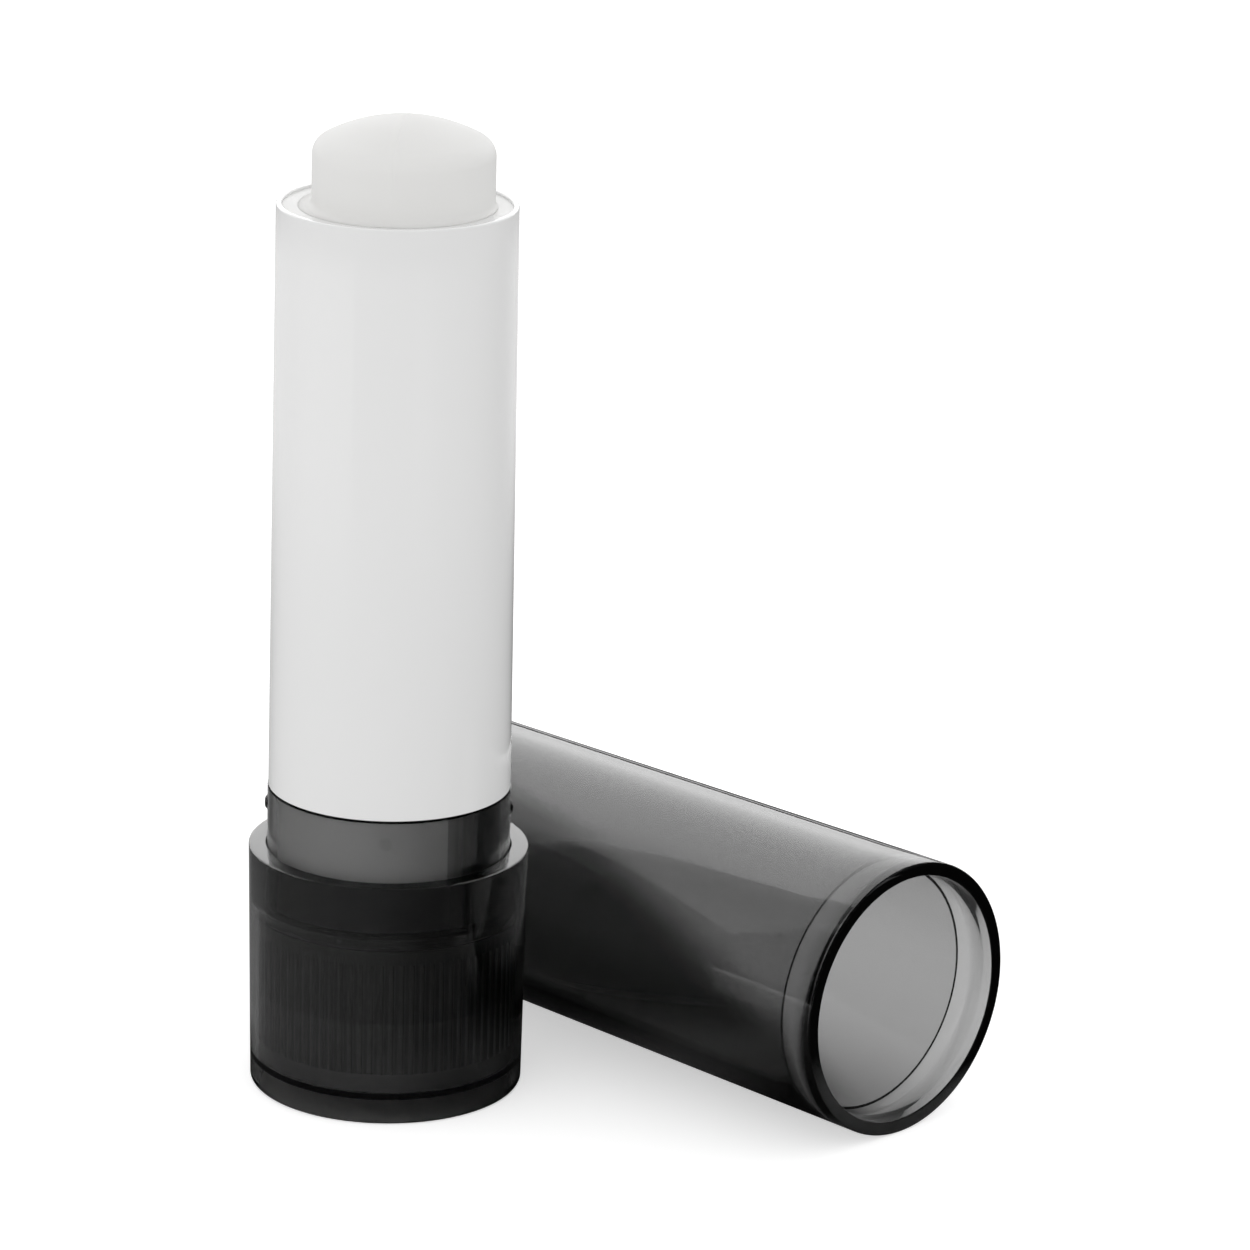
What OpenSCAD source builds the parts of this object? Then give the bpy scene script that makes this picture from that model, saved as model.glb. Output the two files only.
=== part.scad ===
// Lip balm stick that stands on its base, with its cap pulled off and lying beside it.
// Millimetres. +Z runs up the stick. The origin is on the stick's axis, on the table.
// The barrel turns on the base, and a keyed elevator inside it climbs a screw spindle with the balm.

/* [Inner tube] */
// Inner radius of the tube that holds the balm
tube_bore_r = 6.5; // [6.2:0.05:6.8]
// Wall of the inner tube
tube_wall = 1.07; // [0.9:0.01:1.3]
// Thickness of the inner tube's floor
tube_floor = 1.2; // [0.8:0.1:1.6]
// How far the inner tube's rim lies below the sleeve's rim
rim_recess = 0.2; // [0.1:0.05:0.5]
// Number of guide grooves along the inner tube
groove_count = 4; // [2:1:6]
// Depth of a guide groove
groove_depth = 0.45; // [0.3:0.05:0.6]
// Width of a guide groove
groove_w = 1.6; // [1.2:0.1:2.4]

/* [Outer sleeve] */
// Wall of the outer sleeve at its rim
sleeve_wall = 0.4; // [0.3:0.05:0.6]
// How much wider the sleeve is at its foot than at its rim
sleeve_taper = 0.2; // [0:0.01:0.3]
// Length of the outer sleeve
sleeve_len = 40.1; // [36:0.1:48]
// Rounding of the sleeve's rim
sleeve_edge_r = 0.14; // [0.05:0.01:0.15]

/* [Collar] */
// Step from the sleeve's foot out to the neck
neck_step = 0.05; // [0:0.01:0.2]
// Height of neck that shows between the shoulder and the sleeve
neck_h = 4.3; // [3.8:0.1:6]
// Height of the thin shadow groove under the sleeve
neck_groove_h = 0.16; // [0.1:0.02:0.3]
// Depth of the thin shadow groove under the sleeve
neck_groove_d = 0.4; // [0.2:0.05:0.45]
// Number of snap nubs round the neck
nub_count = 4; // [2:1:6]
// Radius of a snap nub's round foot
nub_foot_r = 0.5; // [0.4:0.02:0.8]
// How far a snap nub stands out
nub_h = 0.18; // [0.1:0.01:0.24]
// Height of the nubs above the shoulder
nub_rise = 2.7; // [2.2:0.1:2.9]
// Direction of the first nub, in degrees from +X
nub_turn = -44; // [-180:1:180]
// Width of the flange that holds the collar in the base
flange_w = 0.42; // [0.3:0.02:0.6]
// Thickness of that flange
flange_h = 0.65; // [0.5:0.05:0.9]
// Height from the flange's underside to the seat of the inner tube
seat_rise = 1; // [0.8:0.1:1.5]
// Width of the seat under the inner tube
seat_w = 0.5; // [0.3:0.05:0.8]
// Wall of the collar's skirt inside the wheel
skirt_wall = 0.85; // [0.7:0.05:0.9]
// Length of the collar's skirt inside the wheel
skirt_len = 5.3; // [3:0.1:6.5]

/* [Base shell] */
// Height of the shoulder, where the closed cap stands
base_h = 16.9; // [15.5:0.1:20]
// Width of the flat ledge round the neck
ledge_w = 1.15; // [1:0.05:1.6]
// Height of the thick ring under the ledge
shoulder_h = 3.9; // [3:0.1:5]
// How much narrower the shell is at its foot than at its shoulder
shell_taper = 0.21; // [0:0.01:0.3]
// Depth of the hollow under the base
foot_recess = 1.6; // [1.2:0.1:2.4]
// Wall of the shell round that hollow
foot_wall = 0.75; // [0.6:0.05:1.2]
// Thickness of the shell's floor
shell_floor = 0.5; // [0.4:0.1:1.2]
// Rounding of the shell's bottom edge
foot_edge_r = 0.3; // [0.1:0.05:0.5]
// Rounding of the shoulder's outer edge
shoulder_edge_r = 0.12; // [0.05:0.01:0.3]

/* [Drive wheel] */
// Thickness of the wheel's floor
wheel_floor = 1.2; // [0.8:0.1:1.6]
// Number of knurl ribs round the wheel
knurl_count = 80; // [40:1:120]
// Depth of the knurl
knurl_depth = 0.12; // [0.06:0.01:0.2]
// Height of the plain band above the knurl
knurl_land = 1; // [0.6:0.1:2]
// Height of the plain edge under the knurl
knurl_foot = 1.3; // [0.5:0.1:2]
// Outer radius of the wheel's hub
hub_r = 3.4; // [3:0.1:4.5]
// Number of webs between the hub and the wheel's wall
web_count = 6; // [3:1:8]
// Thickness of a web
web_t = 0.9; // [0.6:0.1:1.2]
// Gap between the webs and the collar's skirt above them
web_gap = 0.5; // [0.3:0.1:1.5]

/* [Spindle] */
// Radius of the spindle's core
core_r = 1.7; // [1.5:0.05:1.9]
// Radial height of the screw thread
thread_h = 0.6; // [0.4:0.05:0.8]
// Rise of the thread in one turn
lead = 3.6; // [3:0.1:4]
// Axial width of the thread at its crest
crest_w = 0.7; // [0.5:0.05:0.9]
// Axial width of the thread at the core
root_w = 1.1; // [0.9:0.05:1.3]
// Radius of the journal that turns in the inner tube's floor
journal_r = 2.2; // [2.1:0.05:2.6]
// Width across the flats of the square foot
foot_w = 3; // [2.6:0.1:3.1]
// Radius of the flange above the inner tube's floor
stop_r = 4; // [3.5:0.1:5]
// Thickness of that flange
stop_h = 1; // [0.7:0.1:1.5]
// Plain end of the spindle above the thread
tip_h = 0.8; // [0.5:0.1:2]

/* [Elevator] */
// Gap under the elevator when it is right down
elevator_gap = 0.35; // [0.3:0.05:1]
// Height of the elevator's lower skirt
elevator_skirt_h = 7.1; // [6:0.1:9]
// Thickness of the elevator's floor
elevator_floor = 1.1; // [0.8:0.1:1.5]
// Depth of the cup that holds the balm
cup_h = 6; // [4:0.1:8]
// Wall of the cup and the skirt
cup_wall = 0.65; // [0.5:0.05:0.9]
// Wall of the nut round the spindle
nut_wall = 1.25; // [0.9:0.05:1.5]
// Number of webs in the skirt and fins in the cup
fin_count = 4; // [3:1:6]
// Thickness of a web or fin
fin_t = 0.8; // [0.6:0.1:1.2]
// Height of the fins in the cup
fin_h = 4.5; // [2:0.1:5]
// Height of the keys that run in the guide grooves
key_h = 5; // [3:0.1:6]
// Angle that one thread lug of the nut spans
lug_arc = 80; // [50:5:110]
// What stays between the elevator's cup and the sleeve's rim when it is right up
top_margin = 2.4; // [2:0.1:6]

/* [Balm] */
// Radius of the cast nose
nose_r = 6.05; // [5.5:0.05:6.1]
// Height of the nose above the sleeve's rim
nose_h = 5.8; // [4:0.1:8]
// Radius of the crown
crown_r = 11.3; // [8:0.1:20]
// Rounding between the crown and the side
nose_edge_r = 1.35; // [0.8:0.05:2]
// Rounding where the nose meets the inner tube's rim
nose_foot_r = 0.45; // [0.2:0.05:0.8]
// How far the nose was cast off the tube's axis
nose_shift = 0.38; // [0:0.02:0.4]
// Direction of that shift, in degrees from +X
nose_turn = 45; // [-180:1:180]

/* [Cap] */
// Play between the neck and the cap's mouth
cap_play = 0.3; // [0.26:0.01:0.5]
// Wall of the cap at its mouth
cap_wall = 0.95; // [0.7:0.05:1.4]
// How much narrower the cap is at its closed end than at its mouth
cap_taper = 0.36; // [0.1:0.01:0.4]
// Depth of the wide mouth, up to the step in the bore
cap_step_z = 3.1; // [2.8:0.1:3.8]
// Height of that step
cap_step_h = 0.2; // [0.1:0.01:0.22]
// Distance of the snap bead from the mouth
bead_z = 1.4; // [1:0.1:1.6]
// How far the snap bead stands in from the mouth's bore
bead_h = 0.15; // [0.12:0.01:0.2]
// Half the width of the snap bead
bead_half_w = 0.7; // [0.5:0.05:0.8]
// Room above the balm when the cap is closed
cap_headroom = 0.7; // [0.4:0.1:3]
// Thickness of the cap's closed end
cap_end = 1.1; // [0.8:0.1:1.6]
// Rounding of the closed end's outer edge
cap_end_r = 1; // [0.4:0.1:1.5]
// Rounding of the mouth's edges
mouth_edge_r = 0.1; // [0.05:0.01:0.2]
// Place of the cap's mouth along X, where it lies
cap_mouth_x = 30.5; // [20:0.1:45]
// Gap between the lying cap and the base beside it
cap_side_gap = 0.23; // [0.1:0.01:5]

/* [Fits] */
// Radial play of what turns
turn_play = 0.1; // [0.05:0.01:0.15]
// End play of what turns
end_play = 0.05; // [0.02:0.01:0.15]
// Radial play of the journal in the floor of the inner tube
journal_play = 0.06; // [0.02:0.01:0.1]
// Gap left between pressed pieces
press_gap = 0.03; // [0.01:0.01:0.05]
// Play round the elevator and its keys
slide_play = 0.1; // [0.05:0.01:0.15]
// Gap between the balm and the tube that it slides in
balm_play = 0.04; // [0.02:0.01:0.1]
// Play between the thread and the nut's lugs
thread_play = 0.15; // [0.1:0.01:0.2]

/* [Hidden] */
$fn = 96;
arc_steps = 6;
eps = 0.01;
// The thread is left-handed, so the balm rises when the base is turned clockwise seen from below
hand = -1;
thread_step = 15;
lug_step = 10;
lug_count = 2;
// Share of a knurl rib's pitch that the rib fills at its root, and that one flank takes
knurl_fill = 0.5;
knurl_flank = 0.12;
// How far the ribs' roots reach into the plain wall behind them
knurl_sink = 0.08;
// How far the foot of the nose stands above the balm's body
nose_lap = 0.02;

// Radii, from the balm outwards
tube_r = tube_bore_r + tube_wall;
press_r = tube_r + press_gap;
sleeve_top_r = press_r + sleeve_wall;
sleeve_foot_r = sleeve_top_r + sleeve_taper;
neck_r = sleeve_foot_r + neck_step;
neck_hole_r = neck_r + turn_play;
shoulder_r = neck_hole_r + ledge_w;
shell_foot_r = shoulder_r - shell_taper;
flange_r = neck_r + flange_w;
shell_bore_r = flange_r + turn_play;
wheel_r = shell_bore_r - press_gap;
skirt_bore_r = tube_r - seat_w;
skirt_r = skirt_bore_r + skirt_wall;
wheel_bore_r = skirt_r + turn_play;
groove_r = tube_bore_r + groove_depth;

// Heights, from the table up
wheel_z = foot_recess + shell_floor;
wheel_floor_z = wheel_z + wheel_floor;
shell_step_z = base_h - shoulder_h;
flange_top_z = shell_step_z - end_play;
flange_z = flange_top_z - flange_h;
wheel_top_z = flange_z - end_play;
skirt_z = flange_z - skirt_len;
seat_z = flange_z + seat_rise;
tube_floor_top_z = seat_z + tube_floor;
hub_top_z = seat_z - end_play;
sleeve_z = base_h + neck_h;
rim_z = sleeve_z + sleeve_len;
tube_top_z = rim_z - rim_recess;
stop_z = tube_floor_top_z + end_play;
stop_top_z = stop_z + stop_h;

// Elevator at its lowest place, as photographed
elevator_z = stop_top_z + elevator_gap;
elevator_floor_z = elevator_z + elevator_skirt_h;
cup_z = elevator_floor_z + elevator_floor;
cup_top_z = cup_z + cup_h;
travel = rim_z - top_margin - cup_top_z;
elevator_r = tube_bore_r - slide_play;
cup_r = elevator_r - cup_wall;
key_r = groove_r - slide_play;
key_w = groove_w - 2 * slide_play;
thread_r = core_r + thread_h;
nut_bore_r = thread_r + thread_play;
nut_r = nut_bore_r + nut_wall;
fin_in_r = nut_bore_r + fin_t;
groove_top_z = elevator_z + key_h + travel + slide_play;

// Thread, and the lugs that run in its highest groove under the elevator's floor
lug_tip_r = core_r + thread_play;
lug_tip_w = lead - root_w - 2 * thread_play;
lug_root_w = lead - crest_w - 2 * thread_play;
thread_z = stop_top_z + root_w;
lug_groove = floor((cup_z - lug_root_w / 2 - thread_z) / lead - 0.5);
lug_z = thread_z + lead * (lug_groove + 0.5);
thread_top_z = lug_z + travel + lead / 2;
thread_turn = 360 * (thread_top_z - thread_z) / lead;
spindle_top_z = thread_top_z + root_w / 2 + tip_h;

// Balm
balm_r = tube_bore_r - balm_play;
balm_bore_r = nut_bore_r;
balm_bore_top_z = spindle_top_z + tip_h;
nose_top_z = rim_z + nose_h;

// Cap
cap_mouth_bore_r = neck_r + cap_play;
cap_mouth_r = cap_mouth_bore_r + cap_wall;
cap_bore_r = cap_mouth_bore_r - cap_step_h;
cap_depth = nose_top_z - base_h + cap_headroom;
cap_len = cap_depth + cap_end;
cap_end_outer_r = cap_mouth_r - cap_taper;
cap_bore_end_r = cap_bore_r - cap_taper * (cap_depth - cap_step_z) / cap_len;
bead_ball_r = (bead_half_w * bead_half_w + bead_h * bead_h) / (2 * bead_h);
bead_half_angle = asin(bead_half_w / bead_ball_r);
cap_tilt = atan(cap_taper / cap_len);
cap_axis_z = cap_mouth_r * cos(cap_tilt);
cap_y = shoulder_r + cap_mouth_r + cap_side_gap;

// Points of an arc about c, from angle a to angle b
function arc(c, r, a, b, steps = arc_steps) =
    [for (i = [0:steps]) c + r * [cos(a + (b - a) * i / steps), sin(a + (b - a) * i / steps)]];

// One ring of a section swept along the thread's helix
function helix_ring(section, turn, z) =
    [for (p = section) [p[0] * cos(turn), p[0] * sin(turn), z + p[1] + hand * lead * turn / 360]];

// A closed tube of a four-cornered section along the helix, from turn a to turn b
module helix_sweep(section, z, a, b, step) {
    n = ceil(abs(b - a) / step);
    c = len(section);
    points = [for (i = [0:n]) each helix_ring(section, a + (b - a) * i / n, z)];
    sides = [for (i = [0:n - 1], k = [0:c - 1])
        each let (p = i * c + k, q = i * c + (k + 1) % c) [[p, q, q + c], [p, q + c, p + c]]];
    first = [[0, 2, 1], [0, 3, 2]];
    last = [for (f = first) [n * c + f[0], n * c + f[2], n * c + f[1]]];
    polyhedron(points, concat(sides, first, last));
}

// A solid ring with a square section
module ring(r_out, r_in, z, h) {
    translate([0, 0, z]) difference() {
        cylinder(r = r_out, h = h);
        translate([0, 0, -eps]) cylinder(r = r_in, h = h + 2 * eps);
    }
}

// Radial plates that stand round the axis
module spokes(count, r_in, r_out, width, z, h) {
    for (i = [0:count - 1])
        rotate([0, 0, 360 * i / count])
            translate([r_in, -width / 2, z])
                cube([r_out - r_in, width, h]);
}

// Outline of the knurled wheel, with trapezoid ribs
function knurl_outline(r, depth, count) =
    let (foot = knurl_fill / 2, crest = foot - knurl_flank)
    [for (i = [0:count - 1], k = [[r - depth, -foot], [r, -crest], [r, crest], [r - depth, foot]])
        k[0] * [cos(360 * (i + k[1]) / count), sin(360 * (i + k[1]) / count)]];

// Clear smoke shell that stands on the table and carries the wheel
module base_shell() {
    foot_bore_r = shell_foot_r - foot_wall;
    outline = concat(
        arc([shell_foot_r - foot_edge_r, foot_edge_r], foot_edge_r, -90, 0),
        arc([shoulder_r - shoulder_edge_r, base_h - shoulder_edge_r], shoulder_edge_r, 0, 90),
        [[neck_hole_r, base_h], [neck_hole_r, shell_step_z], [shell_bore_r, shell_step_z],
         [shell_bore_r, wheel_z], [0, wheel_z], [0, foot_recess], [foot_bore_r, foot_recess],
         [foot_bore_r, 0]]);
    color([0.13, 0.13, 0.14]) rotate_extrude() polygon(outline);
}

// Knurled wheel pressed into the shell, with a square socket for the spindle
module drive_wheel() {
    knurl_h = wheel_top_z - knurl_land - wheel_z - knurl_foot;
    plain_r = wheel_r - knurl_depth;
    root_r = plain_r - knurl_sink;
    crest_r = wheel_r - press_gap;
    socket_w = foot_w + 2 * press_gap;
    color([0.2, 0.2, 0.21]) difference() {
        union() {
            difference() {
                union() {
                    translate([0, 0, wheel_z]) cylinder(r = plain_r, h = wheel_top_z - wheel_z);
                    translate([0, 0, wheel_z + knurl_foot])
                        linear_extrude(knurl_h)
                            polygon(knurl_outline(crest_r, crest_r - root_r, knurl_count));
                    translate([0, 0, wheel_top_z - knurl_land])
                        cylinder(r = wheel_r, h = knurl_land);
                }
                translate([0, 0, wheel_floor_z]) cylinder(r = wheel_bore_r, h = wheel_top_z);
            }
            translate([0, 0, wheel_z]) cylinder(r = hub_r, h = hub_top_z - wheel_z);
            spokes(web_count, hub_r - web_t / 2, wheel_bore_r + eps, web_t, wheel_z,
                skirt_z - web_gap - wheel_z);
        }
        translate([-socket_w / 2, -socket_w / 2, wheel_floor_z])
            cube([socket_w, socket_w, hub_top_z]);
    }
}

// Screw spindle, square at its foot and held by the floor of the inner tube
module spindle() {
    foot_z = wheel_floor_z + press_gap;
    ridge = [[core_r - thread_h / 2, root_w / 2], [thread_r, crest_w / 2],
             [thread_r, -crest_w / 2], [core_r - thread_h / 2, -root_w / 2]];
    color([0.93, 0.92, 0.88]) union() {
        translate([-foot_w / 2, -foot_w / 2, foot_z])
            cube([foot_w, foot_w, hub_top_z - foot_z]);
        translate([0, 0, hub_top_z]) cylinder(r = journal_r, h = stop_z - hub_top_z);
        translate([0, 0, stop_z]) cylinder(r = stop_r, h = stop_h);
        translate([0, 0, stop_z]) cylinder(r = core_r, h = spindle_top_z - stop_z);
        helix_sweep(ridge, thread_z, 0, hand * thread_turn, thread_step);
    }
}

// Smoke collar: the neck with its snap nubs, the flange and the skirt inside the base
module collar() {
    groove_neck_r = neck_r - neck_groove_d;
    nub_ball_r = (nub_foot_r * nub_foot_r + nub_h * nub_h) / (2 * nub_h);
    outline = [
        [skirt_bore_r, skirt_z], [skirt_r, skirt_z], [skirt_r, flange_z], [flange_r, flange_z],
        [flange_r, flange_top_z], [neck_r, flange_top_z], [neck_r, sleeve_z - neck_groove_h],
        [groove_neck_r, sleeve_z - neck_groove_h], [groove_neck_r, sleeve_z],
        [press_r, sleeve_z], [press_r, seat_z], [skirt_bore_r, seat_z]];
    color([0.3, 0.3, 0.31]) difference() {
        union() {
            rotate_extrude() polygon(outline);
            for (i = [0:nub_count - 1])
                rotate([0, 0, nub_turn + 360 * i / nub_count])
                    translate([neck_r + nub_h - nub_ball_r, 0, base_h + nub_rise])
                        sphere(r = nub_ball_r);
        }
        translate([0, 0, seat_z]) cylinder(r = press_r, h = neck_h + base_h);
    }
}

// White tube inside the sleeve, with a bearing floor and guide grooves for the elevator
module inner_tube() {
    color([0.95, 0.95, 0.94]) difference() {
        translate([0, 0, seat_z]) cylinder(r = tube_r, h = tube_top_z - seat_z);
        translate([0, 0, tube_floor_top_z]) cylinder(r = tube_bore_r, h = tube_top_z);
        translate([0, 0, seat_z - eps])
            cylinder(r = journal_r + journal_play, h = tube_floor + 2 * eps);
        spokes(groove_count, tube_bore_r - groove_depth, groove_r, groove_w, tube_floor_top_z,
            groove_top_z - tube_floor_top_z);
    }
}

// Glossy white sleeve over the inner tube, standing on the collar
module outer_sleeve() {
    outline = concat(
        [[press_r, sleeve_z], [sleeve_foot_r, sleeve_z]],
        arc([sleeve_top_r - sleeve_edge_r, rim_z - sleeve_edge_r], sleeve_edge_r, 0, 90),
        arc([press_r + sleeve_edge_r, rim_z - sleeve_edge_r], sleeve_edge_r, 90, 180));
    color([0.97, 0.97, 0.96]) rotate_extrude() polygon(outline);
}

// Elevator: a keyed cup with a nut, whose lugs run in the spindle's thread
module elevator_cup() {
    lug_outer_r = nut_bore_r + nut_wall / 2;
    lug = [[lug_tip_r, lug_tip_w / 2], [lug_outer_r, lug_root_w / 2],
           [lug_outer_r, -lug_root_w / 2], [lug_tip_r, -lug_tip_w / 2]];
    color([0.9, 0.9, 0.87]) union() {
        ring(elevator_r, cup_r, elevator_z, cup_top_z - elevator_z);
        ring(elevator_r - eps, nut_bore_r, elevator_floor_z, elevator_floor);
        ring(nut_r, nut_bore_r, elevator_z, cup_z - elevator_z);
        spokes(fin_count, nut_r - fin_t / 2, cup_r + eps, fin_t, elevator_z,
            elevator_skirt_h + eps);
        spokes(fin_count, fin_in_r, cup_r + eps, fin_t, cup_z - eps, fin_h + eps);
        spokes(groove_count, cup_r + eps, key_r, key_w, elevator_z, key_h);
        for (i = [0:lug_count - 1])
            helix_sweep(lug, lug_z, 360 * i / lug_count, 360 * i / lug_count + hand * lug_arc,
                lug_step);
    }
}

// Balm cast in the elevator's cup, round the spindle, with a domed nose
module balm_bullet() {
    crown_z = nose_top_z - crown_r;
    lean = asin((nose_r - nose_edge_r) / (crown_r - nose_edge_r));
    edge_z = crown_z + (crown_r - nose_edge_r) * cos(lean);
    nose = concat(
        [[0, tube_top_z - nose_foot_r]],
        [[nose_r + nose_foot_r, tube_top_z - nose_foot_r]],
        arc([nose_r + nose_foot_r, tube_top_z + nose_foot_r], nose_foot_r, -90, -180),
        arc([nose_r - nose_edge_r, edge_z], nose_edge_r, 0, 90 - lean, 2 * arc_steps),
        arc([0, crown_z], crown_r, 90 - lean, 90, 4 * arc_steps));
    color([0.96, 0.95, 0.92]) difference() {
        union() {
            translate([0, 0, cup_z]) cylinder(r = cup_r - press_gap, h = cup_h + eps);
            translate([0, 0, cup_top_z])
                cylinder(r = balm_r, h = tube_top_z - nose_lap - cup_top_z);
            intersection() {
                translate([nose_shift * cos(nose_turn), nose_shift * sin(nose_turn), 0])
                    rotate_extrude() polygon(nose);
                translate([0, 0, cup_z]) cylinder(r = balm_r, h = nose_top_z);
            }
        }
        translate([0, 0, cup_z - eps]) cylinder(r = balm_bore_r, h = balm_bore_top_z - cup_z);
        spokes(fin_count, fin_in_r - press_gap, cup_r, fin_t + 2 * press_gap, cup_z - eps,
            fin_h + press_gap + eps);
    }
}

// Clear smoke cap, lying on its side with its mouth towards +X
module cap() {
    outline = concat(
        [[0, 0]],
        arc([cap_end_outer_r - cap_end_r, cap_end_r], cap_end_r, -90, 0),
        arc([cap_mouth_r - mouth_edge_r, cap_len - mouth_edge_r], mouth_edge_r, 0, 90),
        arc([cap_mouth_bore_r + mouth_edge_r, cap_len - mouth_edge_r], mouth_edge_r, 90, 180),
        arc([cap_mouth_bore_r + bead_ball_r - bead_h, cap_len - bead_z], bead_ball_r,
            180 - bead_half_angle, 180 + bead_half_angle),
        [[cap_mouth_bore_r, cap_len - cap_step_z], [cap_bore_r, cap_len - cap_step_z],
         [cap_bore_end_r, cap_end + cap_end_r / 2]],
        arc([cap_bore_end_r - cap_end_r / 2, cap_end + cap_end_r / 2], cap_end_r / 2, 0, -90),
        [[0, cap_end]]);
    color([0.35, 0.35, 0.36])
        translate([cap_mouth_x, cap_y, cap_axis_z])
            rotate([0, 90 - cap_tilt, 0])
                translate([0, 0, -cap_len])
                    rotate_extrude() polygon(outline);
}

cap();
base_shell();
drive_wheel();
spindle();
collar();
inner_tube();
outer_sleeve();
elevator_cup();
balm_bullet();
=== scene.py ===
import math

import bmesh
import bpy
from mathutils import Matrix, Vector


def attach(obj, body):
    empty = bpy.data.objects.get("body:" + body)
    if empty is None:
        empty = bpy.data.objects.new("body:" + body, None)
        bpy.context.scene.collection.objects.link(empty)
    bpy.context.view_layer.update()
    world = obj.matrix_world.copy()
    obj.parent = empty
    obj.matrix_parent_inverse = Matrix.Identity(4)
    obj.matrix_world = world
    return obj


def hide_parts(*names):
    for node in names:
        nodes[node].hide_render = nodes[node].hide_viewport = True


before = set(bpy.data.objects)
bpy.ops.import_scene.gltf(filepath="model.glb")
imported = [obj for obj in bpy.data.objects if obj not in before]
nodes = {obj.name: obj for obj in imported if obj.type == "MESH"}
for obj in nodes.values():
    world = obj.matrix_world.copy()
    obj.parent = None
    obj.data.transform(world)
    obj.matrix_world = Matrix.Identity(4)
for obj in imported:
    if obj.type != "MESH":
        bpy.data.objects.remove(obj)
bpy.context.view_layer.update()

MM = 0.001

# Sizes in millimetres, as in the part's source
TUBE_BORE_R = 6.5
TUBE_R = 7.57
PRESS_R = 7.6
SLEEVE_TOP_R = 8.0
SLEEVE_FOOT_R = 8.2
SLEEVE_EDGE_R = 0.14
NECK_R = 8.25
NECK_GROOVE_R = 7.85
NECK_GROOVE_H = 0.16
NECK_HOLE_R = 8.35
SHOULDER_R = 9.5
SHOULDER_EDGE_R = 0.12
SHELL_FOOT_R = 9.29
SHELL_BORE_R = 8.77
SHELL_STEP_Z = 13.0
FOOT_RECESS = 1.6
FOOT_BORE_R = 8.54
FOOT_EDGE_R = 0.3
BASE_H = 16.9
WHEEL_Z = 2.1
WHEEL_FLOOR_Z = 3.3
WHEEL_R = 8.74
WHEEL_BORE_R = 8.02
WHEEL_TOP_Z = 12.25
WHEEL_PLAIN_R = 8.62
KNURL_COUNT = 80
KNURL_R = 8.71
KNURL_LAND = 1.0
KNURL_FOOT = 1.3
HUB_R = 3.4
HUB_TOP_Z = 13.25
SOCKET_W = 3.06
WEB_COUNT = 6
WEB_W = 0.9
WEB_TOP_Z = 6.5
FLANGE_R = 8.67
FLANGE_Z = 12.3
FLANGE_TOP_Z = 12.95
SKIRT_BORE_R = 7.07
SKIRT_R = 7.92
SKIRT_Z = 7.0
SEAT_Z = 13.3
SLEEVE_Z = 21.2
RIM_Z = 61.3
TUBE_TOP_Z = 61.1
TUBE_FLOOR_TOP_Z = 14.5
JOURNAL_HOLE_R = 2.26
GROOVE_COUNT = 4
GROOVE_R = 6.95
GROOVE_W = 1.6
GROOVE_TOP_Z = 49.8
LOCK_R = 7.1
LOCK_H = 0.24
NUB_COUNT = 4
NUB_TURN = -44
NUB_Z = 19.6
NUB_R = 0.5
NUB_H = 0.18
CUP_Z = 24.1
CUP_TOP_Z = 30.1
CUP_BALM_R = 5.72
CUP_PLAY = 0.03
FIN_COUNT = 4
FIN_IN_R = 3.22
FIN_W = 0.86
FIN_TOP_Z = 28.63
BALM_R = 6.46
BALM_TOP_R = 6.49
BALM_LIP_R = 6.58
BALM_LIP_H = 0.02
BALM_BORE_R = 2.45
BALM_BORE_TOP_Z = 54.8
NOSE_R = 6.05
NOSE_TOP_Z = 67.1
CROWN_R = 11.3
NOSE_EDGE_R = 1.35
NOSE_FOOT_R = 0.45
NOSE_SHIFT = 0.38
NOSE_TURN = 45
SEAM_TURN = -49.3
SEAM_H = 0.035
SEAM_W = 0.1
SEAM_END_Z = 62.9
TIP_H = 0.04
TIP_R = 0.22
CAP_MOUTH_X = 30.5
CAP_Y = 19.23
CAP_LEN = 52.0
CAP_MOUTH_R = 9.5
CAP_MOUTH_BORE_R = 8.55
CAP_BORE_R = 8.35
CAP_BORE_END_R = 8.019
CAP_END_OUTER_R = 9.14
CAP_END = 1.1
CAP_END_R = 1.0
CAP_STEP_Z = 3.1
CAP_TILT = math.atan(0.36 / 52.0)
BEAD_Z = 1.4
BEAD_H = 0.15
BEAD_HALF_W = 0.7
MOUTH_EDGE_R = 0.1
eps = 0.01

# Segments of the turned pieces
PLAIN_SEGMENTS = 288
FINE_SEGMENTS = 720
KNURL_SEGMENTS = 12 * KNURL_COUNT

# Clear plastic
SMOKE_IOR = 1.46
SHELL_DENSITY = 1200  # per metre
COLLAR_DENSITY = 1100
CAP_DENSITY = 1000
# Tones of the wheel and of the painted light on its lower part, and of the painted shade behind the neck
# with its strength over the angle about Z
WHEEL_TONE = 0.038
WHEEL_PAINTED_LIGHT_TONE = 0.09
PAINTED_SHADE_TONE = 0.01
PAINTED_SHADE_SECTOR = [(-12.7, 0.0), (-11.9, 0.5), (-5.5, 0.62), (-2.0, 0.85),
               (6.0, 0.97), (58.0, 0.97), (62.0, 0.0)]

# Towards the camera and to its right, along the floor
FRONT = (0.7055, -0.7087, 0)
SIDE = (0.7087, 0.7055, 0)
FLOOR_R = 3.0
FLOOR_DROP = 0.00002
PHOTO_PX = 1250
FOCAL_PX = 5529
SENSOR = 36
CAMERA_PLACE = (0.26110, -0.24007, 0.14241)
CAMERA_PAN = math.radians(-44.875)
CAMERA_TILT = 0.30011
CAMERA_ROLL = 0.027278


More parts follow.
